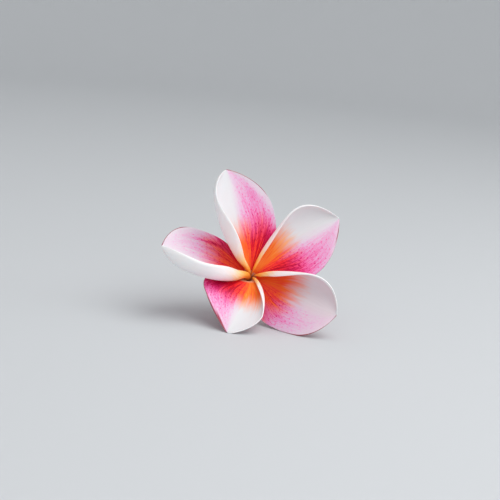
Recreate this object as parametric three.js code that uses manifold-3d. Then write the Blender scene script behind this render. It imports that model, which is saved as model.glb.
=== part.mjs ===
// A frangipani flower, as picked: five overlapping petals, the corolla tube that they grow from, the
// anthers and pistil inside it, the calyx round its foot and the short stalk. It lies on two of its
// petals and the end of the stalk, with its face turned up towards -Y.
//
// Millimetres, +Z up, the origin on the surface below the middle of the flower.
//
// Each piece is shaped in the flower's own frame, with the throat at the origin and +Z out of the
// flower's face, and the whole flower is then laid down. Angles are in degrees. A petal's left and
// right are as seen from the front with its tip pointing up, so its left margin is the anticlockwise
// one. Left margins lie in front of the next petal's right margin, all the way round.

import * as THREE from "three";
import { mergeVertices } from "three/addons/utils/BufferGeometryUtils.js";
import Module from "manifold-3d";

const wasm = await Module();
wasm.setup();

const { degToRad, lerp, smoothstep } = THREE.MathUtils;

// ---- Driving dimensions ----

// What the five petals share.
const blade = {
  thickness: 0.7,
  footRadius: 2.4, // from the flower's axis to the middle of a petal's foot
  footHalfWidth: 1.95,
  footWrap: 55, // how far each half of the foot wraps round the throat
  footRoll: 29, // turns each foot's left edge in under the next foot's right edge
  footElevation: 82, // the foot leaves the tube this steeply
  flareLength: 3, // and opens out over about this length
  firstFoot: 37, // direction of the first petal's foot round the throat
  rightWidest: 0.49, // share of the length at which the right half is widest
  widening: 1.9, // power of the outline from the foot to the widest place
  sweepPower: 1.5,
  tip: 0.99, // share of the length at which the blunt tip ends
};

// Shares of a petal's length between which its own shape takes over from the foot's.
const settling = {
  turn: [0, 0.12],
  roll: [0, 0.2],
  wrap: [0, 0.22],
  curl: [-0.05, 0.12],
};

// The left margin's curl opens from here on, and ends just past the margin.
const curlOpensFrom = 0.05;
const curlEnds = 1.05;

// The petals, clockwise from the top one. Widths are of each half, laid flat. A petal rises from the
// flower's plane by "rise", and by "lift" more at its tip and less at its foot. Its direction turns
// by "turn" from its foot's and by "sweep" back again towards the tip. Each half is cupped, and the
// left margin is curled in by "curlAtFoot", which opens to "curlAtTip" at the share "curlReach" of
// the length. The curl starts at the share "curlFrom" of the half's width.
const petals = [
  {
    turn: 14, rise: 40, lift: 4, roll: 10, sweep: 3,
    length: 48, leftWidth: 18, rightWidth: 19,
    leftWidest: 0.65, leftShoulder: 3.4, rightShoulder: 2.1,
    leftCup: 26, rightCup: 19,
    curlAtFoot: 175, curlAtTip: 75, curlReach: 0.85, curlFrom: 0.33,
  },
  {
    turn: -3, rise: 28, lift: -3, roll: 8, sweep: 5,
    length: 44.5, leftWidth: 16, rightWidth: 16,
    leftWidest: 0.66, leftShoulder: 2.6, rightShoulder: 2.4,
    leftCup: 41, rightCup: 12,
    curlAtFoot: 170, curlAtTip: 60, curlReach: 0.75, curlFrom: 0.46,
  },
  {
    turn: -4, rise: 24, lift: -1, roll: 25, sweep: 0,
    length: 44.5, leftWidth: 16, rightWidth: 16.5,
    leftWidest: 0.58, leftShoulder: 2.3, rightShoulder: 3.3,
    leftCup: 38, rightCup: 0,
    curlAtFoot: 175, curlAtTip: 30, curlReach: 1, curlFrom: 0.25,
  },
  {
    turn: 5, rise: 12, lift: -11, roll: 10, sweep: 19,
    length: 38, leftWidth: 12.5, rightWidth: 18.5,
    leftWidest: 0.72, leftShoulder: 1.4, rightShoulder: 1.4,
    leftCup: 32, rightCup: 22,
    curlAtFoot: 175, curlAtTip: 15, curlReach: 0.91, curlFrom: 0.4,
  },
  {
    turn: 5, rise: 22, lift: 9, roll: 6, sweep: 10,
    length: 45, leftWidth: 19.5, rightWidth: 17,
    leftWidest: 0.64, leftShoulder: 3.4, rightShoulder: 2.4,
    leftCup: 26, rightCup: 11,
    curlAtFoot: 160, curlAtTip: 100, curlReach: 0.77, curlFrom: 0.22,
  },
];

// The tube, from its foot up to the throat at 0 and down again inside, as radius and height.
const tube = {
  length: 15,
  widestFoot: 2.5,
  outside: [[2.2, -15], [2.5, -13], [2.4, -10.5], [2, -6.5], [2.05, -3], [2.5, -1.4], [3.1, -0.4]],
  inside: [[2.4, -0.4], [1.8, -1.4], [1.35, -3], [1.3, -6.5], [1.75, -10.5], [1.85, -13], [1.5, -14.2]],
};

const calyx = {
  clearance: 0.3, // to the tube's foot
  wall: 0.7,
  floor: 1.2,
  height: 3.4, // from the underside to the tips of the lobes
  stemRadius: 1.6, // at the underside
  rimRound: 0.25,
  lobes: 5,
  lobesFrom: 0.3, // height above the floor at which the gaps between the lobes start
  notch: 0.4, // share of the height by which the rim dips between lobes
  lobeRoundness: 0.7,
};

const anthers = {
  count: 5,
  foot: -13.9,
  height: 3.2,
  shoulder: 0.55, // share of the height at which they start to lean in
  outer: 1.4,
  inner: 0.95,
  topOuter: 1.1,
  topInner: 0.75,
  groove: 0.1, // share of the radius by which the gaps between them are sunk
};

const pistil = { foot: -13.9, height: 3.8, ovary: 0.6, neck: 0.25, head: 0.45, sides: 12 };

const stalk = {
  length: 5.5,
  topRadius: 1.5,
  radius: 1.15,
  cutRadius: 1.3,
  swollenAbove: 0.45, // share of the length down to which the top is swollen
  swollenBelow: 0.7, // and from which the cut end is
  bow: 1.5, // sideways, at the cut end
  gap: 0.3, // to the calyx
  sides: 16,
  rings: 8,
};

// How the flower lies: turned about its own axis, leaned over and turned to face -Y, with its throat
// this far from the origin.
const lie = { turn: 67, lean: 44.8, facing: 13.2, throat: new THREE.Vector3(0.7, 8.9, 16.1) };

// Facets: rows along a petal, closer together by the foot, and columns across each half of it.
const facets = {
  rows: 22,
  rowSpacing: 1.2,
  rightColumns: 5,
  leftColumns: 9,
  round: 24,
  perLobe: 8,
  perAnther: 6,
};

// Steps in which a petal's midline and its sections are summed.
const sums = { lengthSteps: 400, widthSteps: 60 };

const colours = {
  petal: 0xf3c3d8,
  tube: 0x9c1030,
  calyx: 0x7d1028,
  stalk: 0x6a1a22,
  anthers: 0xe8c35a,
  pistil: 0xcfe0a8,
};

// ---- Petals ----

const ease = ([from, to], x) => smoothstep(x, from, to);

// Half the petal's width, laid flat, at the share s of its length.
function halfWidth(s, width, widest, shoulder) {
  if (s < widest) return lerp(width, blade.footHalfWidth, (1 - s / widest) ** blade.widening);
  return width * (1 - ((s - widest) / (1 - widest)) ** shoulder);
}

// The midline's heading at s: its elevation above the flower's plane and its turn from the foot's
// direction, in radians.
function heading(petal, s) {
  const flare = Math.exp((-s * petal.length) / blade.flareLength);
  const elevation = petal.rise + (blade.footElevation - petal.rise) * flare + petal.lift * (2 * s - 1);
  const turn = petal.turn * ease(settling.turn, s) - petal.sweep * s ** blade.sweepPower;
  return { elevation: degToRad(elevation), turn: degToRad(turn) };
}

function along({ elevation, turn }) {
  const level = Math.cos(elevation);
  return new THREE.Vector3(level * Math.cos(turn), level * Math.sin(turn), Math.sin(elevation));
}

// Points of the midline at even steps, in the petal's own frame: +X away from the flower's axis.
function midline(petal) {
  const step = petal.length / sums.lengthSteps;
  const points = [new THREE.Vector3(blade.footRadius, 0, 0)];
  let before = along(heading(petal, 0));
  for (let i = 1; i <= sums.lengthSteps; i += 1) {
    const here = along(heading(petal, i / sums.lengthSteps));
    points.push(points[i - 1].clone().addScaledVector(before.add(here), step / 2));
    before = here;
  }
  return points;
}

// A point at the share t of a list of points at even steps.
function pointAt(points, t) {
  const place = t * (points.length - 1);
  const i = Math.min(Math.floor(place), points.length - 2);
  return points[i].clone().lerp(points[i + 1], place - i);
}

// One half of the section at s: how far it reaches across and up at even steps from the midline to
// the margin. The slope is the section's angle, in degrees, at the share v of the half's width.
function halfSection(width, slope) {
  const step = width / sums.widthSteps;
  const points = [new THREE.Vector2(0, 0)];
  let before = degToRad(slope(0));
  for (let i = 1; i <= sums.widthSteps; i += 1) {
    const here = degToRad(slope(i / sums.widthSteps));
    const across = (Math.cos(before) + Math.cos(here)) / 2;
    const up = (Math.sin(before) + Math.sin(here)) / 2;
    points.push(new THREE.Vector2(points[i - 1].x + across * step, points[i - 1].y + up * step));
    before = here;
  }
  return points;
}

// Shares of the half widths at which the columns stand, from the right margin (-1) to the left (1).
function columnShares() {
  const shares = [];
  for (let i = facets.rightColumns; i > 0; i -= 1) shares.push(-i / facets.rightColumns);
  for (let i = 0; i <= facets.leftColumns; i += 1) shares.push(i / facets.leftColumns);
  return shares;
}

// The petal's middle surface in the flower's frame, as rows of points.
function petalRows(petal, index) {
  const spine = midline(petal);
  const footDirection = degToRad(blade.firstFoot - (360 / petals.length) * index);
  const rows = [];
  for (let i = 0; i <= facets.rows; i += 1) {
    const s = blade.tip * (i / facets.rows) ** facets.rowSpacing;
    const way = heading(petal, s);
    const forward = along(way);
    const level = new THREE.Vector3(-Math.sin(way.turn), Math.cos(way.turn), 0);
    const roll = lerp(blade.footRoll, petal.roll, ease(settling.roll, s));
    const across = level.applyAxisAngle(forward, degToRad(roll));
    const up = forward.clone().cross(across);

    const settled = ease(settling.wrap, s);
    const leftCup = lerp(blade.footWrap, petal.leftCup, settled);
    const rightCup = lerp(blade.footWrap, petal.rightCup, settled);
    const open = ease([curlOpensFrom, petal.curlReach], s);
    const curl = lerp(petal.curlAtFoot, petal.curlAtTip, open) * ease(settling.curl, s);
    const left = halfSection(
      halfWidth(s, petal.leftWidth, petal.leftWidest, petal.leftShoulder),
      (v) => leftCup * v + curl * ease([petal.curlFrom, curlEnds], v),
    );
    const right = halfSection(
      halfWidth(s, petal.rightWidth, blade.rightWidest, petal.rightShoulder),
      (v) => rightCup * v,
    );
    const middle = pointAt(spine, s);
    rows.push(
      columnShares().map((u) => {
        const place = pointAt(u < 0 ? right : left, Math.abs(u));
        return middle
          .clone()
          .addScaledVector(across, Math.sign(u) * place.x)
          .addScaledVector(up, place.y)
          .applyAxisAngle(new THREE.Vector3(0, 0, 1), footDirection);
      }),
    );
  }
  return rows;
}

// A closed blade of even thickness round a middle surface, with the same triangles on both faces.
function bladeGeometry(rows, thickness) {
  const last = rows.length - 1;
  const width = rows[0].length;
  const positions = [];
  const at = (i, j) => rows[Math.min(Math.max(i, 0), last)][Math.min(Math.max(j, 0), width - 1)];
  for (const side of [1, -1]) {
    rows.forEach((row, i) =>
      row.forEach((point, j) => {
        const lengthwise = at(i + 1, j).clone().sub(at(i - 1, j));
        const crosswise = at(i, j + 1).clone().sub(at(i, j - 1));
        const normal = lengthwise.cross(crosswise).normalize();
        const place = point.clone().addScaledVector(normal, (side * thickness) / 2);
        positions.push(...place);
      }),
    );
  }
  const front = (i, j) => i * width + j;
  const back = (i, j) => rows.length * width + front(i, j);
  const indices = [];
  const quad = (a, b, c, d) => indices.push(a, b, c, a, c, d);
  for (let i = 0; i < last; i += 1) {
    for (let j = 0; j < width - 1; j += 1) {
      quad(front(i, j), front(i + 1, j), front(i + 1, j + 1), front(i, j + 1));
      indices.push(back(i, j), back(i + 1, j + 1), back(i + 1, j));
      indices.push(back(i, j), back(i, j + 1), back(i + 1, j + 1));
    }
    quad(back(i, 0), back(i + 1, 0), front(i + 1, 0), front(i, 0));
    quad(front(i, width - 1), front(i + 1, width - 1), back(i + 1, width - 1), back(i, width - 1));
  }
  for (let j = 0; j < width - 1; j += 1) {
    quad(front(0, j), front(0, j + 1), back(0, j + 1), back(0, j));
    quad(back(last, j), back(last, j + 1), front(last, j + 1), front(last, j));
  }
  const geometry = new THREE.BufferGeometry();
  geometry.setAttribute("position", new THREE.Float32BufferAttribute(positions, 3));
  geometry.setIndex(indices);
  return geometry;
}

// ---- Tube, calyx, anthers, pistil and stalk ----

// A turned piece round the flower's axis, from pairs of radius and height.
function turned(profile, segments = facets.round) {
  const points = profile.map(([radius, height]) => new THREE.Vector2(radius, height));
  return new THREE.LatheGeometry(points, segments).rotateX(Math.PI / 2);
}

// Moves each vertex by a formula.
function reshape(geometry, move) {
  const position = geometry.getAttribute("position");
  const point = new THREE.Vector3();
  for (let i = 0; i < position.count; i += 1) {
    point.fromBufferAttribute(position, i);
    move(point);
    position.setXYZ(i, ...point);
  }
  return geometry;
}

function tubeGeometry() {
  return turned([[0, -tube.length], ...tube.outside, ...tube.inside, [0, tube.inside.at(-1)[1]]]);
}

// A small cup that follows the tube's foot, with its rim cut into rounded lobes.
function calyxGeometry() {
  const floor = -tube.length - calyx.clearance;
  const foot = floor - calyx.floor;
  const rim = foot + calyx.height;
  const waist = lerp(floor, rim, 0.5);
  const inner = tube.widestFoot + calyx.clearance;
  const outer = inner + calyx.wall;
  const profile = [
    [0, foot],
    [calyx.stemRadius, foot],
    [lerp(calyx.stemRadius, outer, 0.75), foot + calyx.rimRound],
    [outer, floor],
    [outer, waist],
    [outer - calyx.rimRound / 2, rim - calyx.rimRound],
    [inner + calyx.rimRound, rim],
    [inner, rim - calyx.rimRound],
    [inner, waist],
    [inner, floor + calyx.rimRound],
    [inner - calyx.rimRound, floor],
    [0, floor],
  ];
  const lobesFoot = floor + calyx.lobesFrom;
  return reshape(turned(profile, facets.perLobe * calyx.lobes), (point) => {
    if (point.z <= lobesFoot) return;
    const wave = Math.abs(Math.cos((calyx.lobes / 2) * Math.atan2(point.y, point.x)));
    const dip = calyx.notch * (1 - wave ** calyx.lobeRoundness);
    point.z = lerp(point.z, lobesFoot, dip);
  });
}

// The ring of anthers, leaning together over the pistil, grooved between one and the next.
function anthersGeometry() {
  const top = anthers.foot + anthers.height;
  const shoulder = anthers.foot + anthers.shoulder * anthers.height;
  const profile = [
    [anthers.inner, anthers.foot],
    [anthers.outer, anthers.foot],
    [anthers.outer, shoulder],
    [anthers.topOuter, top],
    [anthers.topInner, top],
    [anthers.inner, shoulder],
    [anthers.inner, anthers.foot],
  ];
  return reshape(turned(profile, facets.perAnther * anthers.count), (point) => {
    if (Math.hypot(point.x, point.y) < anthers.topOuter - 1e-6) return;
    const wave = (1 - Math.cos(anthers.count * Math.atan2(point.y, point.x))) / 2;
    point.x *= 1 - anthers.groove * wave;
    point.y *= 1 - anthers.groove * wave;
  });
}

function pistilGeometry() {
  const height = (share) => pistil.foot + share * pistil.height;
  const profile = [
    [0, height(0)],
    [pistil.ovary, height(0)],
    [pistil.ovary, height(0.3)],
    [pistil.neck, height(0.5)],
    [pistil.neck, height(0.7)],
    [pistil.head, height(0.82)],
    [pistil.neck, height(1)],
    [0, height(1)],
  ];
  return turned(profile, pistil.sides);
}

// The stalk, a little swollen at both ends and bowed.
function stalkGeometry() {
  const top = -tube.length - calyx.clearance - calyx.floor - stalk.gap;
  const rod = new THREE.CylinderGeometry(1, 1, stalk.length, stalk.sides, stalk.rings);
  return reshape(rod.rotateX(Math.PI / 2), (point) => {
    const share = 0.5 - point.z / stalk.length; // 0 at the top, 1 at the cut
    const waist = lerp(stalk.topRadius, stalk.radius, ease([0, stalk.swollenAbove], share));
    const radius = lerp(waist, stalk.cutRadius, ease([stalk.swollenBelow, 1], share));
    point.x *= radius;
    point.y = point.y * radius + stalk.bow * share ** 2;
    point.z = top - share * stalk.length;
  });
}

// ---- Laying the flower down ----

// From the flower's own frame to the surface.
function layMatrix() {
  const turn = new THREE.Matrix4().makeRotationZ(degToRad(lie.turn));
  const lean = new THREE.Matrix4().makeRotationX(degToRad(lie.lean));
  const facing = new THREE.Matrix4().makeRotationZ(degToRad(lie.facing));
  const place = new THREE.Matrix4().makeTranslation(lie.throat);
  return place.multiply(facing).multiply(lean).multiply(turn);
}

function solidOf(geometry) {
  const bare = geometry.clone();
  bare.deleteAttribute("normal");
  bare.deleteAttribute("uv");
  const merged = mergeVertices(bare, 1e-4);
  return new wasm.Manifold(
    new wasm.Mesh({
      numProp: 3,
      vertProperties: merged.getAttribute("position").array,
      triVerts: new Uint32Array(merged.index.array),
    }),
  );
}

function geometryOf(solid) {
  const { vertProperties, triVerts } = solid.getMesh();
  const geometry = new THREE.BufferGeometry();
  geometry.setAttribute("position", new THREE.BufferAttribute(vertProperties, 3));
  geometry.setIndex(new THREE.BufferAttribute(triVerts, 1));
  return geometry;
}

// The surface that the flower lies on, as a block with its top at 0.
const surface = { side: 200, depth: 20 };
const belowSurface = new THREE.BoxGeometry(surface.side, surface.side, surface.depth);
belowSurface.translate(0, 0, -surface.depth / 2);

// Lays a piece down and trims it where it presses on the surface, which leaves a small flat there.
function laid(geometry) {
  const placed = geometry.applyMatrix4(layMatrix());
  placed.computeBoundingBox();
  if (placed.boundingBox.min.z >= 0) return placed;
  return geometryOf(solidOf(placed).subtract(solidOf(belowSurface)));
}

const flower = new THREE.Group();

function add(name, geometry, color, roughness) {
  const material = new THREE.MeshStandardMaterial({ color, roughness, metalness: 0 });
  const mesh = new THREE.Mesh(laid(geometry), material);
  mesh.name = name;
  flower.add(mesh);
}

petals.forEach((petal, index) => {
  const geometry = bladeGeometry(petalRows(petal, index), blade.thickness);
  add(`petal_${index + 1}`, geometry, colours.petal, 0.5);
});
add("corolla_tube", tubeGeometry(), colours.tube, 0.45);
add("anthers", anthersGeometry(), colours.anthers, 0.7);
add("pistil", pistilGeometry(), colours.pistil, 0.6);
add("calyx", calyxGeometry(), colours.calyx, 0.5);
add("stalk", stalkGeometry(), colours.stalk, 0.4);

export default flower;
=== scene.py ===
"""A frangipani flower, as picked, lying on two of its petals and the cut end of its stalk.

Sizes are in millimetres, in the flower's own frame, with the throat at the origin and +Z out of the
flower's face. The finished meshes are laid down and are in metres, +Z up, on the surface at 0. Angles
are in degrees. A petal's left and right are as seen from the front with its tip pointing up.
"""

import logging
import math
from dataclasses import dataclass, field
from enum import Enum

import bpy
import numpy as np
from mathutils import Matrix, Vector


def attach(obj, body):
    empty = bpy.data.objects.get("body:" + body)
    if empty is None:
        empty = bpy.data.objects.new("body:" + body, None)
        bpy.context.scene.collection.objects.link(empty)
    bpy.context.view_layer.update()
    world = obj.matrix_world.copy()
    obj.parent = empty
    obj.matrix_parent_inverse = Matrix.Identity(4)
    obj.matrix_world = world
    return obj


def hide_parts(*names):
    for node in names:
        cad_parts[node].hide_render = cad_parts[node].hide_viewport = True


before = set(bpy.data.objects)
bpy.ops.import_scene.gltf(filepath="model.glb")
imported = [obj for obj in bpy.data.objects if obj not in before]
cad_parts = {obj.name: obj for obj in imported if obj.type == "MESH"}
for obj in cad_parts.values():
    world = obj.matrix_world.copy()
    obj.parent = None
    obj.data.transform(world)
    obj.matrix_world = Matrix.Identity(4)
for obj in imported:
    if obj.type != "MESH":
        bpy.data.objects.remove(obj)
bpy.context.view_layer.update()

log = logging.getLogger("frangipani")

MM = 0.001
PICTURE = 500  # pixels along each side of the picture
SAME_PLACE = 1e-5  # points of a turned piece that are nearer than this are one, in millimetres
POLE = 0.02  # radius of the tiny ring that closes a turned piece on its axis, in millimetres
BODY = "root"

Paint = tuple[float, float, float, float]
Profile = tuple[tuple[float, float], ...]  # radius and height, in millimetres
Span = tuple[float, float]  # where something starts and where it ends
Hill = tuple[float, float, float]  # where it starts, is at its full and ends
Marks = tuple[float, ...]  # how far the broad, the fine and the grain streaks move a value


def ease(low: float, high: float, x: np.ndarray) -> np.ndarray:
    """Rise smoothly from 0 at low to 1 at high."""
    t = np.clip((x - low) / (high - low), 0, 1)
    return t * t * (3 - 2 * t)


def on_surface(points: np.ndarray) -> np.ndarray:
    """Raise the points that lie below the surface onto it.

    Args:
        points: Points with x, y, z last.

    Returns:
        The raised points.
    """
    raised = points.copy()
    raised[..., 2] = np.maximum(raised[..., 2], 0)
    return raised


def paint(red: int, green: int, blue: int) -> Paint:
    """Turn a colour as a screen shows it into the linear one that a shader takes.

    Args:
        red: Its red, from 0 to 255.
        green: Its green.
        blue: Its blue.

    Returns:
        The linear colour, opaque.
    """
    shares = (value / 255 for value in (red, green, blue))
    linear = (v / 12.92 if v <= 0.04045 else ((v + 0.055) / 1.055) ** 2.4 for v in shares)
    return (*linear, 1.0)


# ---- How the flower lies, and the view of it ----


@dataclass(frozen=True)
class Lie:
    """How the flower is laid down: turned about its axis, leaned over and turned to face -Y.

    A program found these values, by laying the petals on a plane.
    """

    turn: float = 67.0
    lean: float = 44.8
    facing: float = 13.2
    throat: tuple[float, float, float] = (0.7, 8.9, 16.1)

    def rotation(self) -> np.ndarray:
        """Turn the flower's frame to the surface's.

        Returns:
            The rotation as a matrix.
        """
        facing = Matrix.Rotation(math.radians(self.facing), 3, "Z")
        lean = Matrix.Rotation(math.radians(self.lean), 3, "X")
        turn = Matrix.Rotation(math.radians(self.turn), 3, "Z")
        return np.array(facing @ lean @ turn)

    def place(self, points: np.ndarray) -> np.ndarray:
        """Lay points down.

        Args:
            points: Points in the flower's frame, in millimetres, with x, y, z last.

        Returns:
            The points on the surface, in metres, with none below it.
        """
        return on_surface((points @ self.rotation().T + np.array(self.throat)) * MM)


@dataclass(frozen=True)
class Viewpoint:
    """Where the camera stands: its tilt from the flower's axis, and where it sees the throat.

    A program fitted the tilt, the azimuth and the throat's pixel to the picture.
    """

    tilt: float = 34.7
    azimuth: float = 68.0
    throat_pixel: tuple[float, float] = (250.8, 278.4)
    distance: float = 600.0
    lens: float = 100.0
    sensor: float = 36.0

    def axes(self) -> np.ndarray:
        """Work out the camera's own axes in the flower's frame.

        Returns:
            Its right, up and backward directions as rows.
        """
        tilt, azimuth = math.radians(self.tilt), math.radians(self.azimuth)
        level = math.cos(tilt)
        return np.array([
            [level * math.cos(azimuth), -math.sin(azimuth), math.sin(tilt) * math.cos(azimuth)],
            [level * math.sin(azimuth), math.cos(azimuth), math.sin(tilt) * math.sin(azimuth)],
            [-math.sin(tilt), 0.0, level],
        ])

    def pixel(self) -> float:
        """Return the size of a pixel at the throat, in millimetres."""
        return self.distance * self.sensor / (self.lens * PICTURE)


# ---- Meshes ----


def deselect() -> None:
    """Leave nothing selected."""
    if bpy.context.object and bpy.context.object.mode != "OBJECT":
        bpy.ops.object.mode_set(mode="OBJECT")
    bpy.ops.object.select_all(action="DESELECT")


def new_piece(name: str) -> bpy.types.Object:
    """Name the primitive that has just been added, and its mesh.

    Args:
        name: The name.

    Returns:
        The primitive's object.
    """
    piece = bpy.context.object
    piece.name = name
    piece.data.name = name
    return piece


def points_of(piece: bpy.types.Object) -> np.ndarray:
    """Read the places of a mesh's vertices.

    Args:
        piece: The piece.

    Returns:
        The places as rows.
    """
    flat = np.empty(len(piece.data.vertices) * 3)
    piece.data.vertices.foreach_get("co", flat)
    return flat.reshape(-1, 3)


def move_points(piece: bpy.types.Object, points: np.ndarray) -> None:
    """Give a mesh's vertices new places."""
    piece.data.vertices.foreach_set("co", points.ravel())
    piece.data.update()


def apply(piece: bpy.types.Object, kind: str, **settings: object) -> None:
    """Add a modifier to a piece and apply it.

    Args:
        piece: The piece.
        kind: The modifier's type.
        settings: Its properties.
    """
    bpy.context.view_layer.objects.active = piece
    modifier = piece.modifiers.new(kind.title(), kind)
    for name, value in settings.items():
        setattr(modifier, name, value)
    bpy.ops.object.modifier_apply(modifier=modifier.name)


def keep(piece: bpy.types.Object, name: str, values: np.ndarray, domain: str = "POINT") -> None:
    """Keep a number or a vector on each point or face of a mesh, for its finish to read.

    Args:
        piece: The piece.
        name: The attribute's name.
        values: The numbers, or the vectors as rows.
        domain: POINT or FACE.
    """
    kind, field_name = ("FLOAT_VECTOR", "vector") if values.ndim == 2 else ("FLOAT", "value")
    made = piece.data.attributes.new(name, kind, domain)
    made.data.foreach_set(field_name, values.astype(np.float32).ravel())


def finish_piece(piece: bpy.types.Object, material: bpy.types.Material, node: str) -> None:
    """Dress a finished piece, put it on the body and hide the solid that it replaces.

    Args:
        piece: The piece, with its place in its mesh.
        material: Its finish.
        node: The name of the solid that it replaces.
    """
    piece.data.materials.clear()
    piece.data.materials.append(material)
    piece.data.shade_smooth()
    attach(piece, BODY)
    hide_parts(node)
    log.info("%s: %d faces", piece.name, len(piece.data.polygons))


def extrude_rings(radius: float, height: float, rings: list[tuple[float, float]]) -> None:
    """Extrude the selected circle round the Z axis from ring to ring, in edit mode.

    Args:
        radius: The circle's radius.
        height: Its height.
        rings: Radius and height of each next ring.
    """
    for next_radius, next_height in rings:
        rise = {"value": (0, 0, next_height - height)}
        bpy.ops.mesh.extrude_region_move(TRANSFORM_OT_translate=rise)
        grow = next_radius / radius
        bpy.ops.transform.resize(value=(grow, grow, 1), center_override=(0, 0, next_height))
        radius, height = next_radius, next_height


def turned(
    name: str, rings: list[tuple[float, float]], sides: int, closed_foot: bool = True
) -> bpy.types.Object:
    """Turn a closed piece round the flower's axis by extruding a circle from ring to ring.

    Args:
        name: The piece's name.
        rings: Radius and height of each ring, in millimetres.
        sides: How many sides it has.
        closed_foot: Whether the first ring is closed by a face.

    Returns:
        The piece, still in the flower's frame, in millimetres.
    """
    deselect()
    radius, height = rings[0]
    bpy.ops.mesh.primitive_circle_add(vertices=sides, radius=radius, location=(0, 0, height))
    piece = new_piece(name)
    bpy.ops.object.transform_apply(location=True, rotation=True, scale=True)
    bpy.ops.object.mode_set(mode="EDIT")
    bpy.ops.mesh.select_all(action="SELECT")
    if closed_foot:
        bpy.ops.mesh.edge_face_add()
    extrude_rings(radius, height, rings[1:])
    bpy.ops.mesh.select_all(action="SELECT")
    bpy.ops.mesh.remove_doubles(threshold=SAME_PLACE)
    bpy.ops.mesh.normals_make_consistent(inside=False)
    bpy.ops.object.mode_set(mode="OBJECT")
    return piece


# ---- Shaders ----


Socket = bpy.types.NodeSocket
Value = Socket | float
Colour = Socket | Paint


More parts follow.
